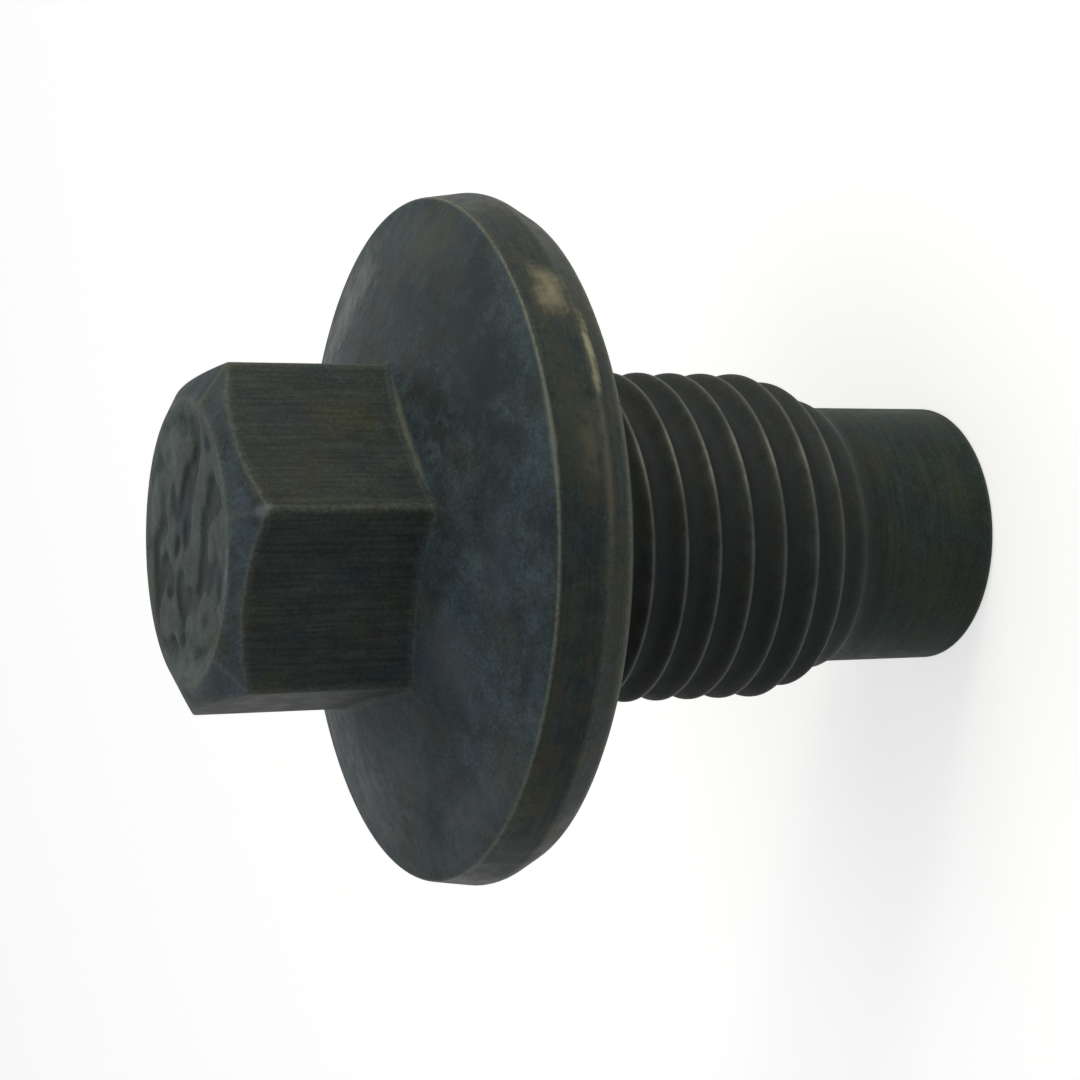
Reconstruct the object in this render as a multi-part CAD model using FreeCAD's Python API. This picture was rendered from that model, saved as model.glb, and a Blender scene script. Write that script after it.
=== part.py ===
import FreeCAD, Part

import math
import os

# Oil drain plug with an M14 x 1.5 thread, one solid piece of steel.
# It stands on the flat end of its pilot with the hexagon up. The axis is Z and the
# origin is the centre of the pilot's end face. All sizes are in millimetres.

# Thread blank, at the diameter of the thread's crests
thread_diameter = 13.94
thread_pitch = 1.5
thread_length = 9.5
lead_in_length = 2.9

# Pilot, the plain nose that enters the hole first and clears the roots of its thread
pilot_clearance = 0.5
pilot_length = 6.1
pilot_edge_chamfer = 0.25

# Undercut between the thread and the sealing face. It flares into the face wide of
# the thread, so that a flat ring slipped over the thread lies on the whole face.
undercut_length = 2.6
undercut_clearance = 0.1
seal_bore_clearance = 0.15

# Flange, a flat cone with a bulging rim that draws in towards both of its edges.
# Its diameter is to the sharp corner of the rim, 28.3 once the crest is rounded.
rim_corner_diameter = 28.35
rim_back_height = 1.4
rim_back_inset = 0.75
rim_front_height = 1.92
rim_front_inset = 0.3
rim_crest_rounding = 0.9
seal_edge_chamfer = 0.25
front_edge_chamfer = 0.15
flange_slope_degrees = 18.3

# Hexagon head, a 13 mm size that is a little under its nominal width
hex_across_flats = 12.9
hex_corner_rounding = 0.25
hex_face_diameter = 11.3
hex_face_edge_rounding = 0.3
hex_chamfer_degrees = 30.0
hex_root_rounding = 0.4
head_height = 13.1

# Heights along the axis, worked out from the sizes above
lead_in_top = pilot_length + lead_in_length
thread_top = lead_in_top + thread_length
seal_face = thread_top + undercut_length
rim_crest = seal_face + rim_back_height
front_edge = rim_crest + rim_front_height
head_top = seal_face + head_height

# A rolled thread is 0.6134 pitches deep. The undercut goes a little deeper than its
# roots, and the pilot is slimmer still.
thread_depth = 0.6134 * thread_pitch
thread_radius = thread_diameter / 2
thread_root_radius = thread_radius - thread_depth
undercut_radius = thread_root_radius - undercut_clearance
pilot_radius = thread_root_radius - pilot_clearance
undercut_flare = thread_radius + seal_bore_clearance - undercut_radius

rim_corner_radius = rim_corner_diameter / 2
seal_face_radius = rim_corner_radius - rim_back_inset
rim_back_slope = rim_back_inset / rim_back_height
rim_front_slope = rim_front_inset / rim_front_height
front_edge_radius = rim_corner_radius - rim_front_inset
flange_slope = math.tan(math.radians(flange_slope_degrees))

hex_inner_radius = hex_across_flats / 2
hex_outer_radius = hex_across_flats / math.sqrt(3)
hex_face_radius = hex_face_diameter / 2
hex_chamfer_slope = math.tan(math.radians(hex_chamfer_degrees))


def flange_height(radius):
    """Height of the flange's cone at a distance from the axis."""
    return front_edge + (front_edge_radius - radius) * flange_slope


def chamfer_height(radius):
    """Height of the head's end chamfer at a distance from the axis."""
    return head_top - (radius - hex_face_radius) * hex_chamfer_slope


def corner_arc(before, corner, after, rounding):
    """Start, middle and end of the arc that rounds one corner of an outline."""
    to_before = (before - corner).normalize()
    to_after = (after - corner).normalize()
    half = to_before.getAngle(to_after) / 2
    inward = (to_before + to_after).normalize()
    start = corner + to_before * (rounding / math.tan(half))
    middle = corner + inward * (rounding / math.sin(half) - rounding)
    end = corner + to_after * (rounding / math.tan(half))
    return start, middle, end


def turned(outline):
    """Solid of revolution about Z from the (radius, height, rounding) corners of an outline."""
    corners = [FreeCAD.Vector(radius, 0, height) for radius, height, rounding in outline]
    roundings = [rounding for radius, height, rounding in outline]
    arcs = []
    for index, corner in enumerate(corners):
        before = corners[index - 1]
        after = corners[(index + 1) % len(corners)]
        arcs.append(corner_arc(before, corner, after, roundings[index]))
    edges = []
    for index, (start, middle, end) in enumerate(arcs):
        edges.append(Part.makeLine(arcs[index - 1][2], start))
        if roundings[index] > 0:
            edges.append(Part.Arc(start, middle, end).toShape())
    face = Part.Face(Part.Wire(edges))
    return face.revolve(FreeCAD.Vector(0, 0, 0), FreeCAD.Vector(0, 0, 1), 360)


def shank_and_flange():
    """Everything turned about the axis, from the pilot's end to the flange's cone."""
    shoulder = thread_top + (thread_radius - undercut_radius)
    neck = hex_inner_radius - hex_root_rounding
    return turned([
        (0, 0, 0),
        (pilot_radius - pilot_edge_chamfer, 0, 0),
        (pilot_radius, pilot_edge_chamfer, 0),
        (pilot_radius, pilot_length, 0),
        (thread_radius, lead_in_top, 0),
        (thread_radius, thread_top, 0),
        (undercut_radius, shoulder, 0),
        (undercut_radius, seal_face - undercut_flare, 0),
        (undercut_radius + undercut_flare, seal_face, 0),
        (seal_face_radius - seal_edge_chamfer, seal_face, 0),
        (seal_face_radius + seal_edge_chamfer * rim_back_slope, seal_face + seal_edge_chamfer, 0),
        (rim_corner_radius, rim_crest, rim_crest_rounding),
        (front_edge_radius + front_edge_chamfer * rim_front_slope, front_edge - front_edge_chamfer, 0),
        (front_edge_radius - front_edge_chamfer, flange_height(front_edge_radius - front_edge_chamfer), 0),
        (neck, flange_height(neck), 0),
        (0, flange_height(neck), 0),
    ])


def hexagon():
    """Hexagonal prism with rounded corners, trimmed by the cone of its end chamfer."""
    corners = []
    for step in range(6):
        angle = math.radians(60 * step)
        x = hex_outer_radius * math.cos(angle)
        y = hex_outer_radius * math.sin(angle)
        corners.append(FreeCAD.Vector(x, y, rim_crest))
    base = Part.Face(Part.makePolygon(corners + corners[:1]))
    prism = base.extrude(FreeCAD.Vector(0, 0, head_top - rim_crest))
    upright = [edge for edge in prism.Edges if edge.BoundBox.ZLength > 0.1]
    prism = prism.makeFillet(hex_corner_rounding, upright)

    wide = hex_outer_radius + 1
    trim = turned([
        (0, rim_crest, 0),
        (wide, rim_crest, 0),
        (wide, chamfer_height(wide), 0),
        (hex_face_radius, head_top, hex_face_edge_rounding),
        (0, head_top, 0),
    ])
    return prism.common(trim)


def hexagon_root(body):
    """Edges where the hexagon meets the flange's cone."""
    lowest = flange_height(hex_outer_radius) - 0.2
    highest = flange_height(hex_inner_radius) + 0.2
    found = []
    for edge in body.Edges:
        box = edge.BoundBox
        middle = edge.CenterOfMass
        near_axis = math.hypot(middle.x, middle.y) < hex_outer_radius
        if near_axis and box.ZMin > lowest and box.ZMax < highest:
            found.append(edge)
    return found


def drain_plug():
    """The whole plug as one solid."""
    body = shank_and_flange().fuse(hexagon()).removeSplitter()
    body = body.makeFillet(hex_root_rounding, hexagon_root(body))
    return body.Solids[0]


os.makedirs("parts", exist_ok=True)
plug = drain_plug()
plug.exportStep("parts/drain_plug.step")
print("drain_plug", plug.isValid(), round(plug.Volume, 1), "mm3", len(plug.Faces), "faces")
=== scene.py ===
import math

import bpy
import numpy as np
from mathutils import Matrix, Vector


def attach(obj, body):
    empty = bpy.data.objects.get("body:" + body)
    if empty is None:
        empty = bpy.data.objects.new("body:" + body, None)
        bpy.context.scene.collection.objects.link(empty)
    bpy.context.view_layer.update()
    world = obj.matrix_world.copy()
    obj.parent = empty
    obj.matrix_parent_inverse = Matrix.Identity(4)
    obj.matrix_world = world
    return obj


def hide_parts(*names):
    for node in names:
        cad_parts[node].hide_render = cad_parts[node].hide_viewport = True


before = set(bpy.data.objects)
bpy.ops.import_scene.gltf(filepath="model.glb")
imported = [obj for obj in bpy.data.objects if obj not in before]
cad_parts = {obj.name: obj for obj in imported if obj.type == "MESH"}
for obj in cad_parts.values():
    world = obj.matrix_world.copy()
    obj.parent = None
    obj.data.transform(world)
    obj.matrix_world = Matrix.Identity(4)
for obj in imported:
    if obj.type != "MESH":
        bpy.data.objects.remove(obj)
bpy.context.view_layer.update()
millimetre = 0.001


# the plug stands, and the camera is rolled a quarter turn so that its axis lies flat in the picture
cameraLook = {
    "azimuth": -9.309,  # degrees round the axis from one corner of the hexagon
    "elevation": 24.368,
    "roll": -0.785,
    "reach": 96.016,  # mm from the axis
    "sideShift": -0.073,
    "height": 62.384,
    "lens": 84.196,
    "sensor": 36.0,
    "clipStart": 0.005,  # m
    "clipEnd": 20.0,
}


def placeCamera(look):
    # the three directions of the camera from its azimuth and elevation, then turned by the roll
    turn = math.radians(look["azimuth"])
    lift = math.radians(look["elevation"])
    roll = math.radians(look["roll"])
    outward = Vector((math.cos(turn), math.sin(turn), 0))
    sideways = Vector((-math.sin(turn), math.cos(turn), 0))
    upward = Vector((0, 0, 1))
    back = outward * math.cos(lift) + upward * math.sin(lift)
    flatRight = outward * math.sin(lift) - upward * math.cos(lift)
    right = flatRight * math.cos(roll) + sideways * math.sin(roll)
    top = sideways * math.cos(roll) - flatRight * math.sin(roll)
    place = outward * look["reach"] + sideways * look["sideShift"] + upward * look["height"]
    data = bpy.data.cameras.new("camera")
    data.lens = look["lens"]
    data.sensor_width = look["sensor"]
    data.clip_start = look["clipStart"]
    data.clip_end = look["clipEnd"]
    camera = bpy.data.objects.new("camera", data)
    bpy.context.scene.collection.objects.link(camera)
    turned = Matrix((right, top, back)).transposed().to_4x4()
    camera.matrix_world = Matrix.Translation(place * millimetre) @ turned
    bpy.context.scene.camera = camera


placeCamera(cameraLook)
print("stage 2: camera placed")


def addNode(tree, kind, values=(), **settings):
    # one node, its settings, and the values of its input sockets by index or name
    node = tree.nodes.new(kind)
    for name, value in settings.items():
        setattr(node, name, value)
    for key, value in dict(values).items():
        node.inputs[key].default_value = value
    return node


def feed(tree, source, node, socket):
    # a link from an output to one input
    tree.links.new(source, node.inputs[socket])


def combine(tree, operation, first, second=0.0):
    # two numbers or outputs joined by one operation
    node = addNode(tree, "ShaderNodeMath", operation=operation)
    for socket, value in enumerate((first, second)):
        if isinstance(value, (int, float)):
            node.inputs[socket].default_value = value
        else:
            feed(tree, value, node, socket)
    return node.outputs[0]


def product(tree, first, second):
    # the first times the second
    return combine(tree, "MULTIPLY", first, second)


def total(tree, first, second):
    # the first plus the second
    return combine(tree, "ADD", first, second)


def spread(tree, value, low, high, newLow=0.0, newHigh=1.0):
    # the value's way from low to high, eased at both ends, taken to the new range
    node = addNode(tree, "ShaderNodeMapRange", {"From Min": low, "From Max": high,
                                                "To Min": newLow, "To Max": newHigh},
                   interpolation_type="SMOOTHSTEP")
    feed(tree, value, node, "Value")
    return node.outputs["Result"]


def blendColour(tree, share, first, second, mode="MIX"):
    # the first colour with a share of the second laid over it, or multiplied into it. Sockets 0, 6
    # and 7 are the share and the two colours, and output 2 is the blend
    node = addNode(tree, "ShaderNodeMix", data_type="RGBA", blend_type=mode)
    for socket, value in ((0, share), (6, first), (7, second)):
        if isinstance(value, (int, float)):
            node.inputs[socket].default_value = value
        elif isinstance(value, (tuple, list)):
            node.inputs[socket].default_value = (*value, 1.0)
        else:
            feed(tree, value, node, socket)
    return node.outputs[2]


def stretched(tree, vector, scale):
    # coordinates multiplied by a scale for each direction
    node = addNode(tree, "ShaderNodeMapping", {"Scale": scale})
    feed(tree, vector, node, "Vector")
    return node.outputs["Vector"]


def attributeOf(tree, name, output="Fac"):
    # a number, or a vector, that is stored at the mesh's points
    return addNode(tree, "ShaderNodeAttribute", attribute_name=name).outputs[output]


plugShape = {  # mm; the axis is Z and the pilot's end face is at height 0
    "pilotRadius": 5.55, "pilotEdge": 0.3, "pilotTop": 5.0,
    "leadInTop": 8.95, "leadInSlope": 0.49, "leadInDrift": 0.25, "leadInSoftness": 0.12,
    "threadRadius": 6.97, "threadPitch": 1.5, "threadDepth": 0.68, "crestWidth": 0.12,
    "crestSoftness": 0.06, "rootSoftness": 0.4, "flankDegrees": 30,
    "crestHeight": 18.66,  # of the crest nearest the flange, at the hexagon corner on +X
    "threadTop": 18.5, "shoulderSoftness": 0.25,
    "runOutStart": 2.3, "runOutLength": 1.2,  # of the groove, down from the seal face
    "fadeStart": 0.1, "fadeDepth": 1.0,  # of the groove on the lead-in, out from the pilot
    "threadMiddle": 12.0, "coreSoftness": 0.25, "endHold": 0.02,
    "glintWidth": 0.1, "pilotFinishTop": 7.2,
    "undercutRadius": 5.95, "undercutHeight": 19.7, "undercutRounding": 0.2,
    "flareHeight": 19.93, "boreRadius": 7.12, "boreRounding": 0.1, "sealHeight": 21.1,
    "sealRadius": 13.425, "sealBevel": 0.25, "sealRounding": 0.07,
    "crestRadius": 14.17, "rimCrest": 22.5, "crestRounding": 0.9,
    "frontRadius": 13.875, "frontEdge": 24.42, "frontRounding": 0.15,
    "coneSlope": math.tan(math.radians(18.3)),
    "flatRadius": 6.45, "cornerRounding": 0.25, "rootRounding": 0.4,
    "faceRadius": 5.65, "faceRounding": 0.3, "chamferSlope": math.tan(math.radians(30)),
    "chamferRounding": 0.2, "headHeight": 34.2,
    "wearWidth": 0.18, "hollowWidth": 0.45,  # how far wear and painted shade reach from their corner
    "cornerWear": 0.35, "cornerRadius": 7.4,  # of the hexagon's upright edges
    # painted shade in the thread's roots, as a share of the groove's depth
    "rootShade": 0.8,  # of the thread
    "dents": {  # of the head's end face
        "depth": 0.14,
        "reach": 5.35,  # from the axis, where the dents end
        "fade": 0.7,  # width of the ring over which they fade out before that
        "levelWithin": 0.01,  # only rows this near the face's height are dented
        "waves": 26,
        "shortest": 1.1,  # wave lengths
        "longest": 3.6,
        "steepness": 2.4,
        "lean": 0.4,  # towards plain ground
        "seed": 5,
    },
}

# degrees from a hexagon corner to the middle of a flat, closest together round the corner
columnSteps = (0, 0.25, 0.5, 0.75, 0.964, 1.2, 1.8, 2.8, 4.2, 6.0, 8.2, 10.6, 13.0, 15.4,
               17.8, 20.2, 22.6, 25.0, 27.5, 30.0)

# places of the rows across one turn of the thread, in pitches from its crest
threadRows = (0, 0.025, 0.045, 0.065, 0.1, 0.17, 0.25, 0.33, 0.39, 0.44, 0.5, 0.56, 0.61, 0.67,
              0.75, 0.83, 0.9, 0.935, 0.955, 0.975)

# the rows are kept between these places. Both lie past the thread's ends in every column, so that
# the first and the last column have the same points
threadReach = {"firstTurn": -1, "lastTurn": 10, "above": -0.76, "below": 10.2}

# the stretches that have a finish of their own, from the head's end face to the pilot
zoneNames = ("endFace", "endChamfer", "flats", "cone", "rimFront", "rimBack", "sealFace",
             "thread", "pilot")
zoneNumber = {name: float(number) for number, name in enumerate(zoneNames)}

# points nearer than a step are one, and there are this many steps in a millimetre
weldSteps = 20000


def columnAngles():
    # the steps of half a flat, mirrored to a whole one, and repeated for each of the six flats
    half = np.array(columnSteps)
    sector = np.concatenate([half, 60 - half[-2:0:-1]])
    turn = np.concatenate([sector + 60 * step for step in range(6)] + [[360.0]])
    return np.radians(turn)


def hexagonReach(angles, shape):
    # distance from the axis to a hexagon with rounded corners: a flat is its radius over the
    # cosine of the angle from its middle, and a corner is an arc round a point on the corner's ray
    halfSector = math.pi / 6
    fromCorner = (angles + halfSector) % (2 * halfSector) - halfSector
    fromFlat = halfSector - np.abs(fromCorner)
    flat = shape["flatRadius"] / np.cos(fromFlat)
    rounding = shape["cornerRounding"]
    inner = shape["flatRadius"] - rounding
    centre = inner / math.cos(halfSector)
    inside = np.maximum(rounding**2 - (centre * np.sin(fromCorner)) ** 2, 0)
    corner = centre * np.cos(fromCorner) + np.sqrt(inside)
    flatEnd = math.atan(inner * math.tan(halfSector) / shape["flatRadius"])
    return np.where(fromFlat > flatEnd, corner, flat), fromCorner


def cornerArc(before, corner, after, rounding, rows):
    # the arc that touches both runs of a corner: its first point and the rows after it, each the
    # centre plus the two radii to the arc's ends, weighted by the sines of the angles to them
    back = (before - corner) / np.linalg.norm(before - corner, axis=0)
    onward = (after - corner) / np.linalg.norm(after - corner, axis=0)
    half = np.arccos(np.clip((back * onward).sum(axis=0), -1, 1)) / 2
    inward = (back + onward) / np.linalg.norm(back + onward, axis=0)
    arcStart = corner + back * rounding / np.tan(half)
    arcEnd = corner + onward * rounding / np.tan(half)
    centre = corner + inward * rounding / np.sin(half)
    turn = math.pi - 2 * half
    shares = np.arange(1, rows + 1) / rows
    bend = [centre + ((arcStart - centre) * np.sin((1 - share) * turn)
                      + (arcEnd - centre) * np.sin(share * turn)) / np.sin(turn)
            for share in shares]
    return arcStart, bend


def roundedPath(corners, columns):
    # a path of straight runs through the corners, one path per column. Each corner becomes the arc
    # that touches both of its runs, and a run's rows are spaced by a cosine, closer near its ends
    place = np.array([[np.broadcast_to(c["radius"], columns), np.broadcast_to(c["height"], columns)]
                      for c in corners], float)
    rows, marks = [place[0]], []
    runStart = place[0]
    for index in range(1, len(corners)):
        corner = corners[index]
        runEnd, bend = place[index], []
        if "rounding" in corner:
            runEnd, bend = cornerArc(place[index - 1], place[index], place[index + 1],
                                     corner["rounding"], corner["bendRows"])
        count = corner["runRows"]
        for step in range(1, count + 1):
            share = 0.5 - 0.5 * math.cos(math.pi * step / (count + 1))
            rows.append(runStart + (runEnd - runStart) * share)
        rows.append(runEnd)
        marks.append((len(rows) - 1 + len(bend) // 2, corner))
        rows.extend(bend)
        runStart = rows[-1]
    path = np.array(rows)
    return path[:, 0], path[:, 1], marks


def softer(first, second, width, sign):
    # the smaller of two values for sign 1, the larger for sign -1, with the step rounded off by a
    # quarter of the squared overlap over the width
    overlap = np.maximum(width - np.abs(first - second), 0) / width
    chosen = np.minimum(first, second) if sign > 0 else np.maximum(first, second)
    return chosen - sign * overlap * overlap * width / 4


def eased(share):
    # three times the square less twice the cube, level at 0 and at 1
    return share * share * (3 - 2 * share)


def threadSurface(angles, heights, shape):
    # the thread blank less a helical groove. The groove's depth is the distance from the crest over
    # the tangent of the flank's angle, up to the thread's depth, and it fades before the undercut.
    # The blank is the crest's radius, less what the lead-in cone and the shoulder take
    pitch = shape["threadPitch"]
    turns = (heights - shape["crestHeight"]) / pitch - angles / (2 * math.pi)
    fromCrest = (turns - np.round(turns)) * pitch  # positive towards the head
    slope = math.tan(math.radians(shape["flankDegrees"]))
    flank = (np.abs(fromCrest) - shape["crestWidth"] / 2) / slope
    groove = softer(flank, 0.0, shape["crestSoftness"], -1)
    groove = softer(groove, shape["threadDepth"], shape["rootSoftness"], 1)
    below = shape["sealHeight"] - heights
    runOut = np.clip((below - shape["runOutStart"]) / shape["runOutLength"], 0, 1)
    groove = groove * eased(runOut)

    # the lead-in starts higher on one side than on the other, seen from the camera
    drift = shape["leadInDrift"] * -np.sin(angles - math.radians(cameraLook["azimuth"]))
    leadIn = shape["threadRadius"] - shape["leadInSlope"] * (shape["leadInTop"] - heights - drift)
    shoulder = shape["threadRadius"] - (heights - shape["threadTop"])
    blank = softer(shape["threadRadius"] + 0 * heights, leadIn, shape["leadInSoftness"], 1)
    blank = softer(blank, shoulder, shape["shoulderSoftness"], 1)

    # on the lead-in the groove gets shallower as the cone runs into the pilot
    overPilot = blank - shape["pilotRadius"] - shape["fadeStart"]
    standsOut = np.clip(overPilot / shape["fadeDepth"], 0, 1)
    radius = blank - groove * standsOut
    core = np.where(heights < shape["threadMiddle"], shape["pilotRadius"], shape["undercutRadius"])
    radius = softer(radius, core, shape["coreSoftness"], -1)
    onPilot = heights < shape["pilotTop"] + shape["endHold"]
    onUndercut = heights > shape["undercutHeight"] - shape["endHold"]
    radius = np.where(onPilot, shape["pilotRadius"], radius)
    radius = np.where(onUndercut, shape["undercutRadius"], radius)

    onCrest = np.exp(-((fromCrest / shape["glintWidth"]) ** 2)) * runOut * np.sqrt(standsOut)
    inRoot = groove / shape["threadDepth"]
    return radius, onCrest, inRoot


def headAndFlange(angles, shape):
    # corners of the path from the middle of the head's end face to the undercut. The chamfer and
    # the hexagon's root follow the hexagon's reach, so they have one value for each column
    reach, fromCorner = hexagonReach(angles, shape)
    chamfer = shape["headHeight"] - (reach - shape["faceRadius"]) * shape["chamferSlope"]
    root = shape["frontEdge"] + (shape["frontRadius"] - reach) * shape["coneSlope"]
    backWidth = shape["crestRadius"] - shape["sealRadius"]
    backSlope = backWidth / (shape["rimCrest"] - shape["sealHeight"])
    # a corner's hollow is painted shade in its crease
    corners = [
        {"radius": 0.0, "height": shape["headHeight"]},
        {"radius": shape["faceRadius"], "height": shape["headHeight"], "zone": "endFace",
         "runRows": 56, "rounding": shape["faceRounding"], "bendRows": 6, "wear": 0.3},
        {"radius": reach, "height": chamfer, "zone": "endChamfer",
         "runRows": 8, "rounding": shape["chamferRounding"], "bendRows": 5, "wear": 0.3},
        {"radius": reach, "height": root, "zone": "flats",
         "runRows": 16, "rounding": shape["rootRounding"], "bendRows": 8, "hollow": 0.3},
        {"radius": shape["frontRadius"], "height": shape["frontEdge"], "zone": "cone",
         "runRows": 20, "rounding": shape["frontRounding"], "bendRows": 6,
         "wear": 0.9, "wearWidth": 0.07},
        {"radius": shape["crestRadius"], "height": shape["rimCrest"], "zone": "rimFront",
         "runRows": 8, "rounding": shape["crestRounding"], "bendRows": 14,
         "wear": 0.3, "wearWidth": 0.16},
        {"radius": shape["sealRadius"] + shape["sealBevel"] * backSlope,
         "height": shape["sealHeight"] + shape["sealBevel"], "zone": "rimBack",
         "runRows": 7, "rounding": shape["sealRounding"], "bendRows": 3, "wear": 0.8},
        {"radius": shape["sealRadius"] - shape["sealBevel"], "height": shape["sealHeight"],
         "zone": "rimBack",
         "runRows": 2, "rounding": shape["sealRounding"], "bendRows": 3, "wear": 0.5},
        {"radius": shape["boreRadius"], "height": shape["sealHeight"], "zone": "sealFace",
         "runRows": 10, "rounding": shape["boreRounding"], "bendRows": 3},
        {"radius": shape["undercutRadius"], "height": shape["flareHeight"], "zone": "sealFace",
         "runRows": 4, "rounding": shape["undercutRounding"], "bendRows": 4, "hollow": 0.9},
        {"radius": shape["undercutRadius"], "height": shape["undercutHeight"], "zone": "thread",
         "runRows": 1},
    ]
    return corners, fromCorner


def pilotEnd(shape):
    # corners of the path from the pilot's top to the middle of its end face
    return [
        {"radius": shape["pilotRadius"], "height": shape["pilotTop"]},
        {"radius": shape["pilotRadius"], "height": 0.0, "zone": "pilot",
         "runRows": 12, "rounding": shape["pilotEdge"], "bendRows": 7, "wear": 0.5},
        {"radius": 0.0, "height": 0.0, "zone": "pilot", "runRows": 12},
    ]


def pathRows(corners, columns, shape):
    # the rows of one path. Wear and the hollows' painted shade fall off as a bell curve of the
    # distance along the path from the corner that has them, and a run has the zone of the corner
    # that it leads to
    radii, heights, marks = roundedPath(corners, columns)
    step = np.hypot(np.diff(radii, axis=0), np.diff(heights, axis=0))
    along = np.concatenate([np.zeros((1, columns)), np.cumsum(step, axis=0)])
    zones = np.zeros_like(radii)
    wear = np.zeros_like(radii)
    hollow = np.zeros_like(radii)
    start = 0
    for row, corner in marks:
        zones[start:] = zoneNumber[corner["zone"]]
        start = row + 1
        distance = along - along[row]
        width = corner.get("wearWidth", shape["wearWidth"])
        wear += corner.get("wear", 0) * np.exp(-((distance / width) ** 2))
        hollow += corner.get("hollow", 0) * np.exp(-((distance / shape["hollowWidth"]) ** 2))
    return {"radius": radii, "height": heights, "along": along, "zone": zones,
            "wear": wear, "hollow": hollow, "crest": np.zeros_like(radii)}


def threadRowsOf(angles, shape, along):
    # rows that climb one pitch a turn with the helix, held between the undercut and the pilot
    turns = range(threadReach["firstTurn"], threadReach["lastTurn"] + 1)
    places = np.concatenate([np.array(threadRows) + turn for turn in turns])
    places = places[(places > threadReach["above"]) & (places < threadReach["below"])]
    pitch = shape["threadPitch"]
    climb = shape["crestHeight"] + pitch * angles[None, :] / (2 * math.pi)
    heights = np.clip(climb - pitch * places[:, None], shape["pilotTop"], shape["undercutHeight"])
    grid = np.broadcast_to(angles, heights.shape)
    radius, onCrest, inRoot = threadSurface(grid, heights, shape)
    onThread = heights > shape["pilotFinishTop"]
    # the groove's depth is also kept as a hollow, for painted shade in the roots
    return {"radius": radius, "height": heights, "along": along + shape["undercutHeight"] - heights,
            "zone": np.where(onThread, zoneNumber["thread"], zoneNumber["pilot"]),
            "wear": np.zeros_like(radius), "hollow": inRoot * shape["rootShade"], "crest": onCrest}


def forgedDents(across, up, dents):
    # share of the depth at each point: a sum of waves of many lengths and directions, flattened
    # at its tops and bottoms by a hyperbolic tangent, that fades out towards the face's rim
    draw = np.random.default_rng(dents["seed"])
    height = np.zeros_like(across)
    for wave in range(dents["waves"]):
        heading, phase = draw.uniform(0, 2 * math.pi, 2)
        length = draw.uniform(dents["shortest"], dents["longest"])
        forward = across * math.cos(heading) + up * math.sin(heading)
        weight = math.sqrt(length / dents["longest"])
        height += np.cos(2 * math.pi / length * forward + phase) * weight
    level = height / math.sqrt(dents["waves"] / 2)
    share = 0.5 + 0.5 * np.tanh(dents["steepness"] * level - dents["lean"])
    fade = np.clip((dents["reach"] - np.hypot(across, up)) / dents["fade"], 0, 1)
    return share * eased(fade)


def plugTable(angles, shape):
    # rows from the head's end face to the pilot's: the head and flange, the thread, the pilot
    corners, fromCorner = headAndFlange(angles, shape)
    upper = pathRows(corners, len(angles), shape)
    dents = shape["dents"]
    across, up = upper["radius"] * np.cos(angles), upper["radius"] * np.sin(angles)
    onFace = upper["height"] > shape["headHeight"] - dents["levelWithin"]
    dented = np.where(onFace, forgedDents(across, up, dents), 0)
    upper["height"] = upper["height"] - dents["depth"] * dented
    # the dents' low ground takes painted shade through the hollow
    upper["hollow"] += dented
    onHexagon = (upper["zone"] == zoneNumber["flats"]) | (upper["zone"] == zoneNumber["endChamfer"])
    fromEdge = np.abs(fromCorner) * shape["cornerRadius"]
    cornerWear = shape["cornerWear"] * np.exp(-((fromEdge / shape["wearWidth"]) ** 2))
    upper["wear"] += np.where(onHexagon, cornerWear, 0)
    thread = threadRowsOf(angles, shape, upper["along"][-1, 0])
    lower = pathRows(pilotEnd(shape), len(angles), shape)
    lower["along"] += thread["along"].max()
    parts = [upper, thread, lower]
    return {key: np.concatenate([part[key] for part in parts]) for key in upper}


def weldedFaces(points):
    # the grid's squares on points of which those at one place are a single point. A square with
    # one pair of equal corners is a triangle, and one with more has no area and goes
    rows, columns = points.shape[:2]
    index = np.arange(rows * columns).reshape(rows, columns)
    quads = np.stack([index[:-1, :-1], index[1:, :-1], index[1:, 1:], index[:-1, 1:]], axis=-1)
    keys = np.round(points.reshape(-1, 3) * weldSteps).astype(np.int64)
    first, group = np.unique(keys, axis=0, return_index=True, return_inverse=True)[1:]
    quads = group.reshape(-1)[quads.reshape(-1, 4)]
    same = quads == np.roll(quads, -1, axis=1)
    whole = quads[same.sum(axis=1) == 0]
    partial = quads[same.sum(axis=1) == 1]
    keep = ~(partial == np.roll(partial, -1, axis=1))
    triangles = partial[keep].reshape(-1, 3)
    return first, whole.tolist() + triangles.tolist()


def buildPlug(shape):
    # each point is its radius times the cosine and sine of the column's angle, and its height
    angles = columnAngles()
    table = plugTable(angles, shape)
    grid = np.broadcast_to(angles, table["radius"].shape)
    across, up = np.cos(grid), np.sin(grid)
    points = np.stack([table["radius"] * across, table["radius"] * up, table["height"]], axis=-1)
    sweep = np.stack([across, up, table["along"]], axis=-1)  # for patterns that run round the axis
    first, faces = weldedFaces(points)

    mesh = bpy.data.meshes.new("plugBody")
    mesh.from_pydata((points.reshape(-1, 3)[first] * millimetre).tolist(), [], faces)
    mesh.polygons.foreach_set("use_smooth", np.ones(len(mesh.polygons), bool))
    for name in ("zone", "wear", "hollow", "crest"):
        attribute = mesh.attributes.new(name, "FLOAT", "POINT")
        attribute.data.foreach_set("value", table[name].reshape(-1)[first].astype(np.float32))
    attribute = mesh.attributes.new("sweep", "FLOAT_VECTOR", "POINT")
    attribute.data.foreach_set("vector", sweep.reshape(-1, 3)[first].astype(np.float32).ravel())
    mesh.update()
    body = bpy.data.objects.new("plugBody", mesh)
    bpy.context.scene.collection.objects.link(body)
    return body


plugBody = buildPlug(plugShape)
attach(plugBody, "root")
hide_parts("drain_plug")
print("stage 3: plug built,", len(plugBody.data.polygons), "faces")


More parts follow.
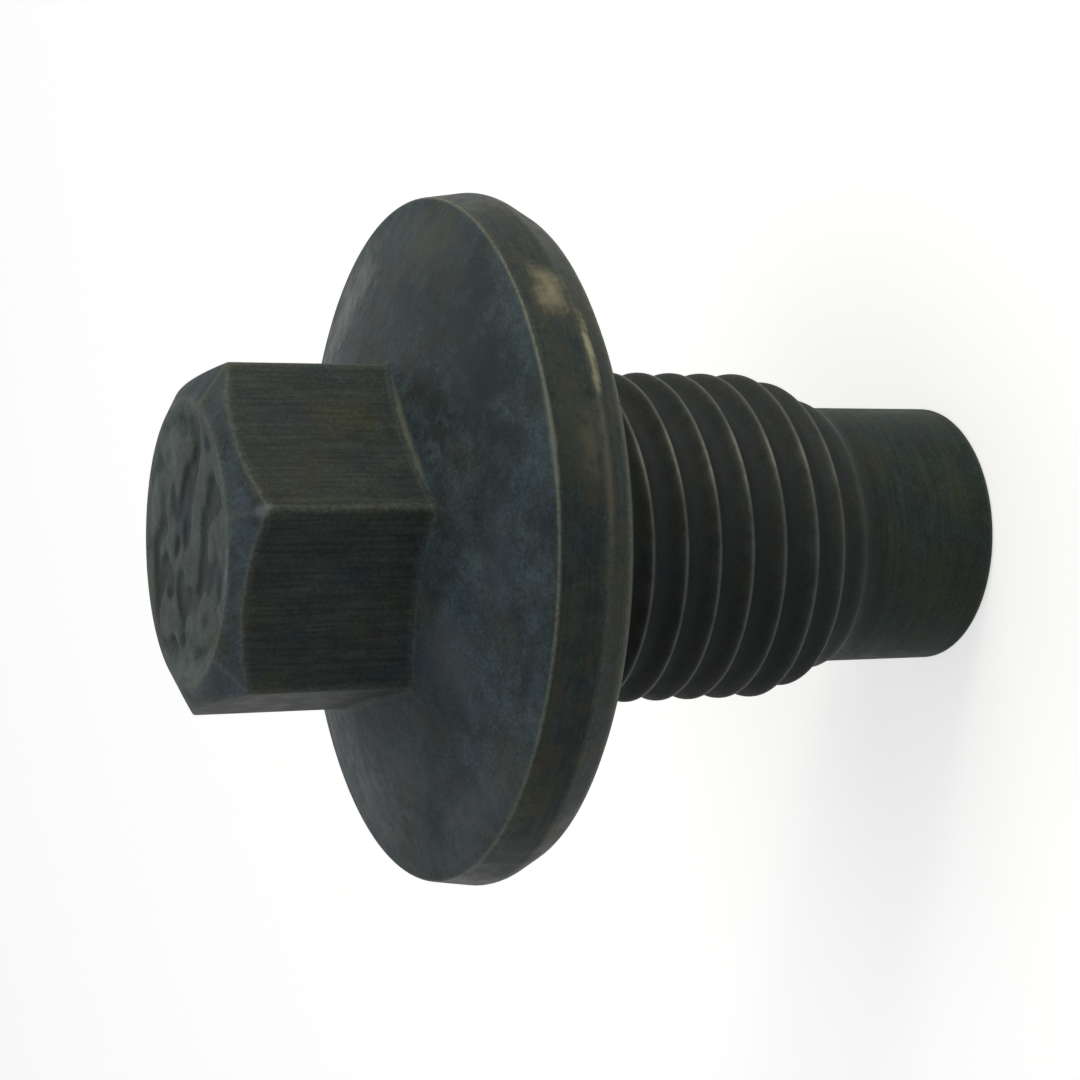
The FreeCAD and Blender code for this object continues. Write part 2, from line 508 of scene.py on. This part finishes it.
darkSteel = {
    "metallic": 0.1,
    "specular": 0.13,
    # colour and roughness of each stretch
    "zones": {
        "endFace": ((0.038, 0.053, 0.054), 0.56),
        "endChamfer": ((0.039, 0.055, 0.065), 0.50),
        "flats": ((0.029, 0.036, 0.035), 0.56),
        "cone": ((0.040, 0.056, 0.064), 0.50),
        "rimFront": ((0.021, 0.030, 0.030), 0.46),
        "rimBack": ((0.029, 0.038, 0.035), 0.52),
        "sealFace": ((0.024, 0.029, 0.029), 0.50),
        "thread": ((0.041, 0.047, 0.048), 0.50),
        "pilot": ((0.023, 0.034, 0.031), 0.56),
    },
    # noise: its coordinates, which are the place in mm or the sweep round the axis, their stretch
    # if any, scale, detail, roughness, distortion
    "patterns": {
        "cloud": ("place", None, 0.35, 4, 0.6, 0.0),
        "blotch": ("place", None, 1.1, 5, 0.62, 0.4),
        "forgeScale": ("place", None, 0.3, 3, 0.5, 0.9),
        "patches": ("place", None, 2.3, 4, 0.6, 0.6),
        "grain": ("place", None, 7.0, 4, 0.7, 0.0),
        "fine": ("place", None, 18.0, 2, 0.6, 0.0),
        "axisLines": ("place", (7.0, 7.0, 0.35), 1.0, 4, 0.65, 0.0),
        "ringLines": ("sweep", (1.6, 1.6, 9.0), 1.0, 4, 0.65, 0.0),
        "ringBands": ("sweep", (1.1, 1.1, 1.7), 1.0, 3, 0.55, 0.0),
        "ringPatches": ("sweep", (13.0, 13.0, 1.5), 1.0, 4, 0.6, 0.3),
    },
    # shading, multiplied in: pattern, its low and high value, and the factors there
    "blotchShade": ("blotch", 0.25, 0.75, 0.70, 1.34),
    "forgedShade": ("forgeScale", 0.33, 0.67, 0.76, 1.24),
    "speckleShade": ("grain", 0.33, 0.67, 0.78, 1.24),
    # the same, with what is added to a factor of 1
    "ringShade": ("ringLines", 0.3, 0.7, -0.22, 0.22),
    "axisShade": ("axisLines", 0.3, 0.7, -0.28, 0.28),
    # stains, and one painted highlight, laid over: where, pattern, its values where the stain starts
    # and is full, share, colour
    "stainsAndHighlight": (
        # painted highlight: lighter on the raised ground between the end face's dents
        ("endFace", "hollow", 0.45, 0.05, 0.40, (0.105, 0.130, 0.115)),
        ("everywhere", "cloud", 0.48, 0.70, 0.50, (0.046, 0.047, 0.022)),
        ("everywhere", "cloud", 0.46, 0.30, 0.55, (0.016, 0.030, 0.034)),
        ("everywhere", "patches", 0.54, 0.72, 0.55, (0.034, 0.026, 0.028)),
    ),
    "ringStains": (
        ("turned", "ringBands", 0.50, 0.72, 0.45, (0.046, 0.047, 0.022)),
        ("rim", "ringPatches", 0.52, 0.66, 0.75, (0.042, 0.036, 0.025)),
        ("rim", "ringPatches", 0.47, 0.34, 0.75, (0.013, 0.021, 0.021)),
    ),
    # painted shade in the thread's roots
    "rootShadeColour": (0.026, 0.030, 0.032),
    # painted shade in hollows: the hexagon's root, the undercut and the end face's dents
    "hollowShadeColour": (0.012, 0.013, 0.014),
    "hollowShadeShare": 0.35,
    # worn and stained places, and painted highlights and shade where marked: degrees round the axis,
    # distance from it, height, half sizes outward, round and along the axis, colour, share
    "spots": (
        # painted highlight: a warm patch of light on the rim's front band
        (32, 14.05, 23.1, (1.0, 1.7, 0.75), (0.215, 0.195, 0.125), 0.85),
        # the next two: a painted highlight along the rim's crest
        (2, 14.12, 22.40, (0.8, 5.5, 0.20), (0.120, 0.105, 0.075), 0.55),
        (20, 14.08, 22.34, (0.9, 2.1, 0.27), (0.400, 0.385, 0.250), 0.85),
        (18, 14.00, 22.03, (0.8, 3.6, 0.17), (0.020, 0.013, 0.009), 0.35),
        (7, 14.05, 23.5, (0.9, 3.8, 1.1), (0.055, 0.060, 0.040), 0.50),
        (5, 14.12, 22.95, (0.9, 2.3, 0.55), (0.098, 0.088, 0.062), 0.65),
        # painted highlight on the rim's worn front edge, on the side towards the lamps
        (8, 13.87, 24.40, (0.5, 6.5, 0.14), (0.170, 0.200, 0.200), 0.55),
        (-40, 8.8, 26.1, (2.4, 2.0, 1.5), (0.090, 0.095, 0.110), 0.50),
        (-14, 10.6, 25.5, (1.2, 3.4, 1.2), (0.060, 0.066, 0.080), 0.35),
        (28, 10.8, 25.4, (3.2, 5.5, 2.0), (0.026, 0.036, 0.038), 0.65),
        # painted shadow on the cone beside the hexagon's root
        (31, 8.2, 26.3, (1.2, 3.2, 1.5), (0.016, 0.020, 0.015), 0.65),
        (58, 11.2, 25.3, (3.2, 6.0, 2.0), (0.024, 0.034, 0.034), 0.60),
        (-66, 12.6, 24.9, (1.6, 5.2, 1.6), (0.105, 0.118, 0.120), 0.55),
        (-90, 9.4, 25.9, (1.9, 2.8, 1.5), (0.080, 0.090, 0.092), 0.50),
        # painted highlight along the hexagon's root fillet on one flat
        (30, 6.66, 26.80, (0.21, 4.4, 0.20), (0.120, 0.132, 0.088), 0.75),
        # painted reflection: a bright patch on the cone's far side
        (111, 11.4, 25.2, (2.6, 4.6, 1.5), (0.165, 0.178, 0.160), 0.75),
        (-116, 10.6, 25.5, (2.4, 4.0, 1.5), (0.105, 0.118, 0.122), 0.60),
        (66, 12.0, 25.0, (2.2, 4.0, 1.5), (0.085, 0.092, 0.070), 0.45),
        # painted highlight on the hexagon's corner nearest the camera
        (0, 7.2, 33.2, (0.5, 0.30, 0.5), (0.130, 0.155, 0.200), 0.65),
        (122, 4.2, 34.2, (1.8, 4.6, 0.6), (0.095, 0.118, 0.102), 0.75),
        (-108, 4.7, 34.2, (1.2, 3.4, 0.6), (0.100, 0.122, 0.112), 0.70),
        (-22, 5.45, 34.15, (0.30, 1.8, 0.3), (0.130, 0.160, 0.170), 0.75),
        # painted highlight on the top crest of the thread
        (16, 6.95, 18.6, (0.5, 0.7, 0.25), (0.200, 0.160, 0.110), 0.70),
    ),
    # what shifts the edge of a spot, in its half sizes, as pattern, low and high value, shifts there
    "spotStreaks": ("ringLines", 0.3, 0.7, -0.14, 0.14),
    "spotBlotches": ("blotch", 0.3, 0.7, -0.28, 0.28),
    "spotEdge": 1.1,  # half sizes from a spot's middle to its edge
    # bare steel on edges and on the thread's crests, with a painted highlight on the crests: how far
    # it shows, as a pattern again
    "edgeColour": (0.160, 0.175, 0.130),
    "edgeShows": ("grain", 0.3, 0.62, 0.35, 1.0),
    "crestColour": (0.22, 0.23, 0.19),
    "crestShows": ("blotch", 0.3, 0.6, 0.45, 1.0),
    "wearAndHighlightShare": 0.85,
    "crestBase": 0.32,  # how far the crests are rubbed outside the painted highlight below
    # painted highlight: the crests' bare steel brighter on the side towards the lamps
    "crestHighlight": (18, 6.97, 13.5, (1.6, 1.9, 9.0), 0.9),  # as a spot, without a colour
    # painted light: a lighter colour on the flanks near the thread's crests
    "lightNearCrest": {"colour": (0.075, 0.080, 0.070), "power": 0.12, "share": 0.3},
    # what is added to the roughness
    "unevenRoughness": ("blotch", 0.3, 0.7, -0.07, 0.09),
    "rubbedRoughness": -0.15,
    "rootRoughness": 0.25,
    # relief of the bump: where, pattern, weight
    "relief": (
        ("everywhere", "grain", 0.5),
        ("everywhere", "fine", 0.18),
        ("forged", "blotch", 1.2),
        ("turned", "ringLines", 0.6),
        ("flats", "axisLines", 0.6),
        ("thread", "blotch", 0.5),
    ),
    "bumpStrength": 0.5,
    "bumpDistance": 0.00006,  # m
}


def zoneRamp(tree, zone, colours):
    # one stop for each stretch, at its number over the last number
    node = addNode(tree, "ShaderNodeValToRGB")
    ramp = node.color_ramp
    last = len(colours) - 1
    ramp.elements.remove(ramp.elements[-1])
    ramp.elements[0].position = 0.0
    ramp.elements[0].color = (*colours[0], 1)
    for step in range(1, last + 1):
        ramp.elements.new(step / last).color = (*colours[step], 1)
    feed(tree, combine(tree, "DIVIDE", zone, float(last)), node, "Fac")
    return node.outputs["Color"]


def zoneMask(tree, zone, *wanted):
    # 1 on the named stretches and 0 on the others, eased between two points of different stretches
    gone, full = 0.9, 0.1  # how far the zone's number is from the wanted one
    found = None
    for name in wanted:
        offset = combine(tree, "SUBTRACT", zone, zoneNumber[name])
        mask = spread(tree, combine(tree, "ABSOLUTE", offset), gone, full)
        found = mask if found is None else combine(tree, "MAXIMUM", found, mask)
    return found


def spotMask(tree, place, edge, uneven, around, reach, height, size, share):
    # the share at the middle of a stretched ball on the surface, falling to 0 at its uneven edge
    turn = math.radians(around)
    local = addNode(tree, "ShaderNodeMapping", {
        "Location": (reach * math.cos(turn), reach * math.sin(turn), height),
        "Rotation": (0, 0, turn), "Scale": size}, vector_type="TEXTURE")
    feed(tree, place, local, "Vector")
    distance = addNode(tree, "ShaderNodeVectorMath", operation="LENGTH")
    feed(tree, local.outputs["Vector"], distance, 0)
    outward = total(tree, distance.outputs["Value"], uneven)
    return product(tree, spread(tree, outward, edge, 0.0), share)


def steelPatterns(tree, coordinates, hollow, look):
    # every noise by its name, and the hollows, which the painted highlight on the end face follows
    patterns = {"hollow": hollow}
    for name, (source, stretch, scale, detail, rough, distortion) in look["patterns"].items():
        vector = coordinates[source]
        if stretch:
            vector = stretched(tree, vector, stretch)
        noise = addNode(tree, "ShaderNodeTexNoise", {
            "Scale": scale, "Detail": detail, "Roughness": rough, "Distortion": distortion})
        feed(tree, vector, noise, "Vector")
        patterns[name] = noise.outputs["Fac"]
    return patterns


def steelMasks(tree, zone):
    # where a finish lies, by its name
    return {
        "flats": zoneMask(tree, zone, "flats"),
        "turned": zoneMask(tree, zone, "rimFront", "rimBack", "sealFace", "pilot"),
        "forged": zoneMask(tree, zone, "endFace", "endChamfer", "cone"),
        "rim": zoneMask(tree, zone, "rimFront", "rimBack"),
        "endFace": zoneMask(tree, zone, "endFace"),
        "thread": zoneMask(tree, zone, "thread"),
    }


def varied(tree, patterns, row):
    # a pattern taken from its low and high value to what the row gives there
    name, low, high, atLow, atHigh = row
    return spread(tree, patterns[name], low, high, atLow, atHigh)


def stainedAndLit(tree, colour, patterns, masks, stainsAndHighlight):
    # each stain, or painted highlight, laid over the colour, where its pattern is full and its mask
    # is 1
    for where, name, start, full, share, stain in stainsAndHighlight:
        amount = spread(tree, patterns[name], start, full)
        if where != "everywhere":
            amount = product(tree, amount, masks[where])
        colour = blendColour(tree, product(tree, amount, share), colour, stain)
    return colour


def steelColour(tree, patterns, masks, zone, hollow, inRoot, place, look):
    # the stretch's colour, shaded, stained and lined by its noises, with painted shade in hollows,
    # and the spots, some of them painted highlights and shade
    colour = zoneRamp(tree, zone, [look["zones"][name][0] for name in zoneNames])
    shade = varied(tree, patterns, look["blotchShade"])
    colour = blendColour(tree, 1.0, colour, shade, "MULTIPLY")
    shade = varied(tree, patterns, look["forgedShade"])
    colour = blendColour(tree, masks["forged"], colour, shade, "MULTIPLY")
    colour = stainedAndLit(tree, colour, patterns, masks, look["stainsAndHighlight"])
    shade = varied(tree, patterns, look["speckleShade"])
    colour = blendColour(tree, 1.0, colour, shade, "MULTIPLY")
    rings = product(tree, masks["turned"], varied(tree, patterns, look["ringShade"]))
    lines = product(tree, masks["flats"], varied(tree, patterns, look["axisShade"]))
    shade = total(tree, total(tree, rings, lines), 1.0)
    colour = blendColour(tree, 1.0, colour, shade, "MULTIPLY")
    colour = stainedAndLit(tree, colour, patterns, masks, look["ringStains"])
    # painted shade in the thread's roots
    colour = blendColour(tree, inRoot, colour, look["rootShadeColour"])
    # painted shade in the other hollows
    hollowShade = product(tree, combine(tree, "SUBTRACT", hollow, inRoot), look["hollowShadeShare"])
    colour = blendColour(tree, hollowShade, colour, look["hollowShadeColour"])
    uneven = total(tree, varied(tree, patterns, look["spotStreaks"]),
                   varied(tree, patterns, look["spotBlotches"]))
    for around, reach, height, size, stain, share in look["spots"]:
        mask = spotMask(tree, place, look["spotEdge"], uneven, around, reach, height, size, share)
        colour = blendColour(tree, mask, colour, stain)
    return colour


def rubbedEdgesAndCrestHighlight(tree, patterns, wear, crest, place, look):
    # how far the edges and the thread's crests are rubbed to bare steel, with the crests' painted
    # highlight
    edges = product(tree, wear, varied(tree, patterns, look["edgeShows"]))
    crests = product(tree, crest, varied(tree, patterns, look["crestShows"]))
    highlight = spotMask(tree, place, look["spotEdge"], 0.0, *look["crestHighlight"])
    crests = product(tree, crests, total(tree, highlight, look["crestBase"]))
    return (product(tree, edges, look["wearAndHighlightShare"]),
            product(tree, crests, look["wearAndHighlightShare"]))


def steelRoughness(tree, patterns, zone, rubbed, inRoot, look):
    # the stretch's roughness, uneven, less where it is rubbed and more in the thread's roots
    roughness = zoneRamp(tree, zone, [(look["zones"][name][1],) * 3 for name in zoneNames])
    roughness = total(tree, roughness, varied(tree, patterns, look["unevenRoughness"]))
    roughness = total(tree, roughness, product(tree, rubbed, look["rubbedRoughness"]))
    return total(tree, roughness, product(tree, inRoot, look["rootRoughness"]))


def steelRelief(tree, patterns, masks, look):
    # the sum of the reliefs, each its pattern times its weight and mask
    height = None
    for where, name, weight in look["relief"]:
        part = product(tree, patterns[name], weight)
        if where != "everywhere":
            part = product(tree, part, masks[where])
        height = part if height is None else total(tree, height, part)
    return height


def makeDarkSteel(look):
    # phosphated steel: its colour and roughness follow the patterns, and a bump gives its relief.
    # The bare steel of edges and crests is laid over the rest of the colour
    material = bpy.data.materials.new("darkSteel")
    material.use_nodes = True
    tree = material.node_tree
    tree.nodes.clear()
    output = addNode(tree, "ShaderNodeOutputMaterial")
    shader = addNode(tree, "ShaderNodeBsdfPrincipled", {
        "Metallic": look["metallic"], "Specular IOR Level": look["specular"]})
    feed(tree, shader.outputs[0], output, "Surface")

    inMetres = addNode(tree, "ShaderNodeTexCoord").outputs["Object"]
    place = stretched(tree, inMetres, (1 / millimetre,) * 3)
    coordinates = {"place": place, "sweep": attributeOf(tree, "sweep", "Vector")}
    zone, wear, hollow, crest = (attributeOf(tree, name)
                                 for name in ("zone", "wear", "hollow", "crest"))
    masks = steelMasks(tree, zone)
    patterns = steelPatterns(tree, coordinates, hollow, look)
    inRoot = product(tree, hollow, masks["thread"])

    colour = steelColour(tree, patterns, masks, zone, hollow, inRoot, place, look)
    edges, crests = rubbedEdgesAndCrestHighlight(tree, patterns, wear, crest, place, look)
    # painted light on the flanks near the crests
    crestLightLook = look["lightNearCrest"]
    crestLightShare = product(tree, combine(tree, "POWER", crest, crestLightLook["power"]), crestLightLook["share"])
    colour = blendColour(tree, crestLightShare, colour, crestLightLook["colour"])
    colour = blendColour(tree, edges, colour, look["edgeColour"])
    colour = blendColour(tree, crests, colour, look["crestColour"])
    feed(tree, colour, shader, "Base Color")

    rubbed = combine(tree, "MAXIMUM", edges, crests)
    feed(tree, steelRoughness(tree, patterns, zone, rubbed, inRoot, look), shader, "Roughness")
    bump = addNode(tree, "ShaderNodeBump", {
        "Strength": look["bumpStrength"], "Distance": look["bumpDistance"]})
    feed(tree, steelRelief(tree, patterns, masks, look), bump, "Height")
    feed(tree, bump.outputs[0], shader, "Normal")
    return material


plugBody.data.materials.append(makeDarkSteel(darkSteel))
print("stage 4: dark steel made")


studio = {
    "floorHalfWidth": 3.0,  # m
    "floorColour": (0.72, 0.72, 0.72),
    "floorGlow": 0.62,  # seen by the camera only
    "mirroredFloor": 0.45,  # seen in reflections only
    "worldStrength": 0.28,
    "whiteWorld": 1.0,  # the same, seen by the camera
    "mirroredWorld": 0.5,  # the same, seen in reflections
    "aim": 17,  # mm up the axis, where the lamps point
    # azimuth from the camera, elevation, distance in mm, size in mm, power in W, colour
    "lamps": {
        "keyLamp": (80, 25, 280, 200, 0.21, (1.0, 0.97, 0.86)),
        "lowLamp": (70, 9, 220, 50, 0.12, (1.0, 0.95, 0.78)),
        "backLamp": (170, 35, 300, 240, 0.05, (0.93, 1.0, 1.0)),
        "topLamp": (10, 72, 300, 220, 0.15, (0.95, 1.0, 1.0)),
        "fillLamp": (-38, 14, 300, 260, 0.07, (0.95, 1.0, 1.0)),
    },
}


def byRay(tree, plain, seen, mirrored):
    # a strength that is seen for camera rays, mirrored for glossy rays and plain for all others
    path = addNode(tree, "ShaderNodeLightPath")
    camera = product(tree, path.outputs["Is Camera Ray"], seen - plain)
    glossy = product(tree, path.outputs["Is Glossy Ray"], mirrored - plain)
    return total(tree, total(tree, camera, glossy), plain)


def makeFloor(stage):
    # one square, matte, with a glow that only the camera and reflections see
    half = stage["floorHalfWidth"]
    mesh = bpy.data.meshes.new("floor")
    mesh.from_pydata([(-half, -half, 0), (half, -half, 0), (half, half, 0), (-half, half, 0)],
                     [], [(0, 1, 2, 3)])
    floor = bpy.data.objects.new("floor", mesh)
    bpy.context.scene.collection.objects.link(floor)
    material = bpy.data.materials.new("paleFloor")
    material.use_nodes = True
    tree = material.node_tree
    tree.nodes.clear()
    output = addNode(tree, "ShaderNodeOutputMaterial")
    matte = addNode(tree, "ShaderNodeBsdfDiffuse", {"Color": (*stage["floorColour"], 1)})
    glow = addNode(tree, "ShaderNodeEmission")
    feed(tree, byRay(tree, 0.0, stage["floorGlow"], stage["mirroredFloor"]), glow, "Strength")
    both = addNode(tree, "ShaderNodeAddShader")
    feed(tree, matte.outputs[0], both, 0)
    feed(tree, glow.outputs[0], both, 1)
    feed(tree, both.outputs[0], output, "Surface")
    floor.data.materials.append(material)
    return floor


def makeWorld(stage):
    # even light from all sides, white to the camera
    world = bpy.data.worlds.new("studio")
    world.use_nodes = True
    bpy.context.scene.world = world
    tree = world.node_tree
    tree.nodes.clear()
    output = addNode(tree, "ShaderNodeOutputWorld")
    background = addNode(tree, "ShaderNodeBackground", {"Color": (1, 1, 1, 1)})
    strength = byRay(tree, stage["worldStrength"], stage["whiteWorld"], stage["mirroredWorld"])
    feed(tree, strength, background, "Strength")
    feed(tree, background.outputs[0], output, "Surface")


def makeLamps(stage):
    # round lamps on directions from the plug's middle, each turned to face it
    middle = Vector((0, 0, stage["aim"] * millimetre))
    for name, (around, lift, distance, size, power, colour) in stage["lamps"].items():
        turn = math.radians(cameraLook["azimuth"] + around)
        rise = math.radians(lift)
        toward = Vector((math.cos(turn) * math.cos(rise), math.sin(turn) * math.cos(rise),
                         math.sin(rise)))
        data = bpy.data.lights.new(name, "AREA")
        data.shape = "DISK"
        data.size = size * millimetre
        data.energy = power
        data.color = colour
        lamp = bpy.data.objects.new(name, data)
        bpy.context.scene.collection.objects.link(lamp)
        lamp.location = middle + toward * distance * millimetre
        lamp.rotation_mode = "QUATERNION"
        lamp.rotation_quaternion = toward.to_track_quat("Z", "Y")


makeFloor(studio)
makeWorld(studio)
makeLamps(studio)
bpy.context.scene.view_settings.view_transform = "Standard"
print("stage 5: floor, world and lamps ready")
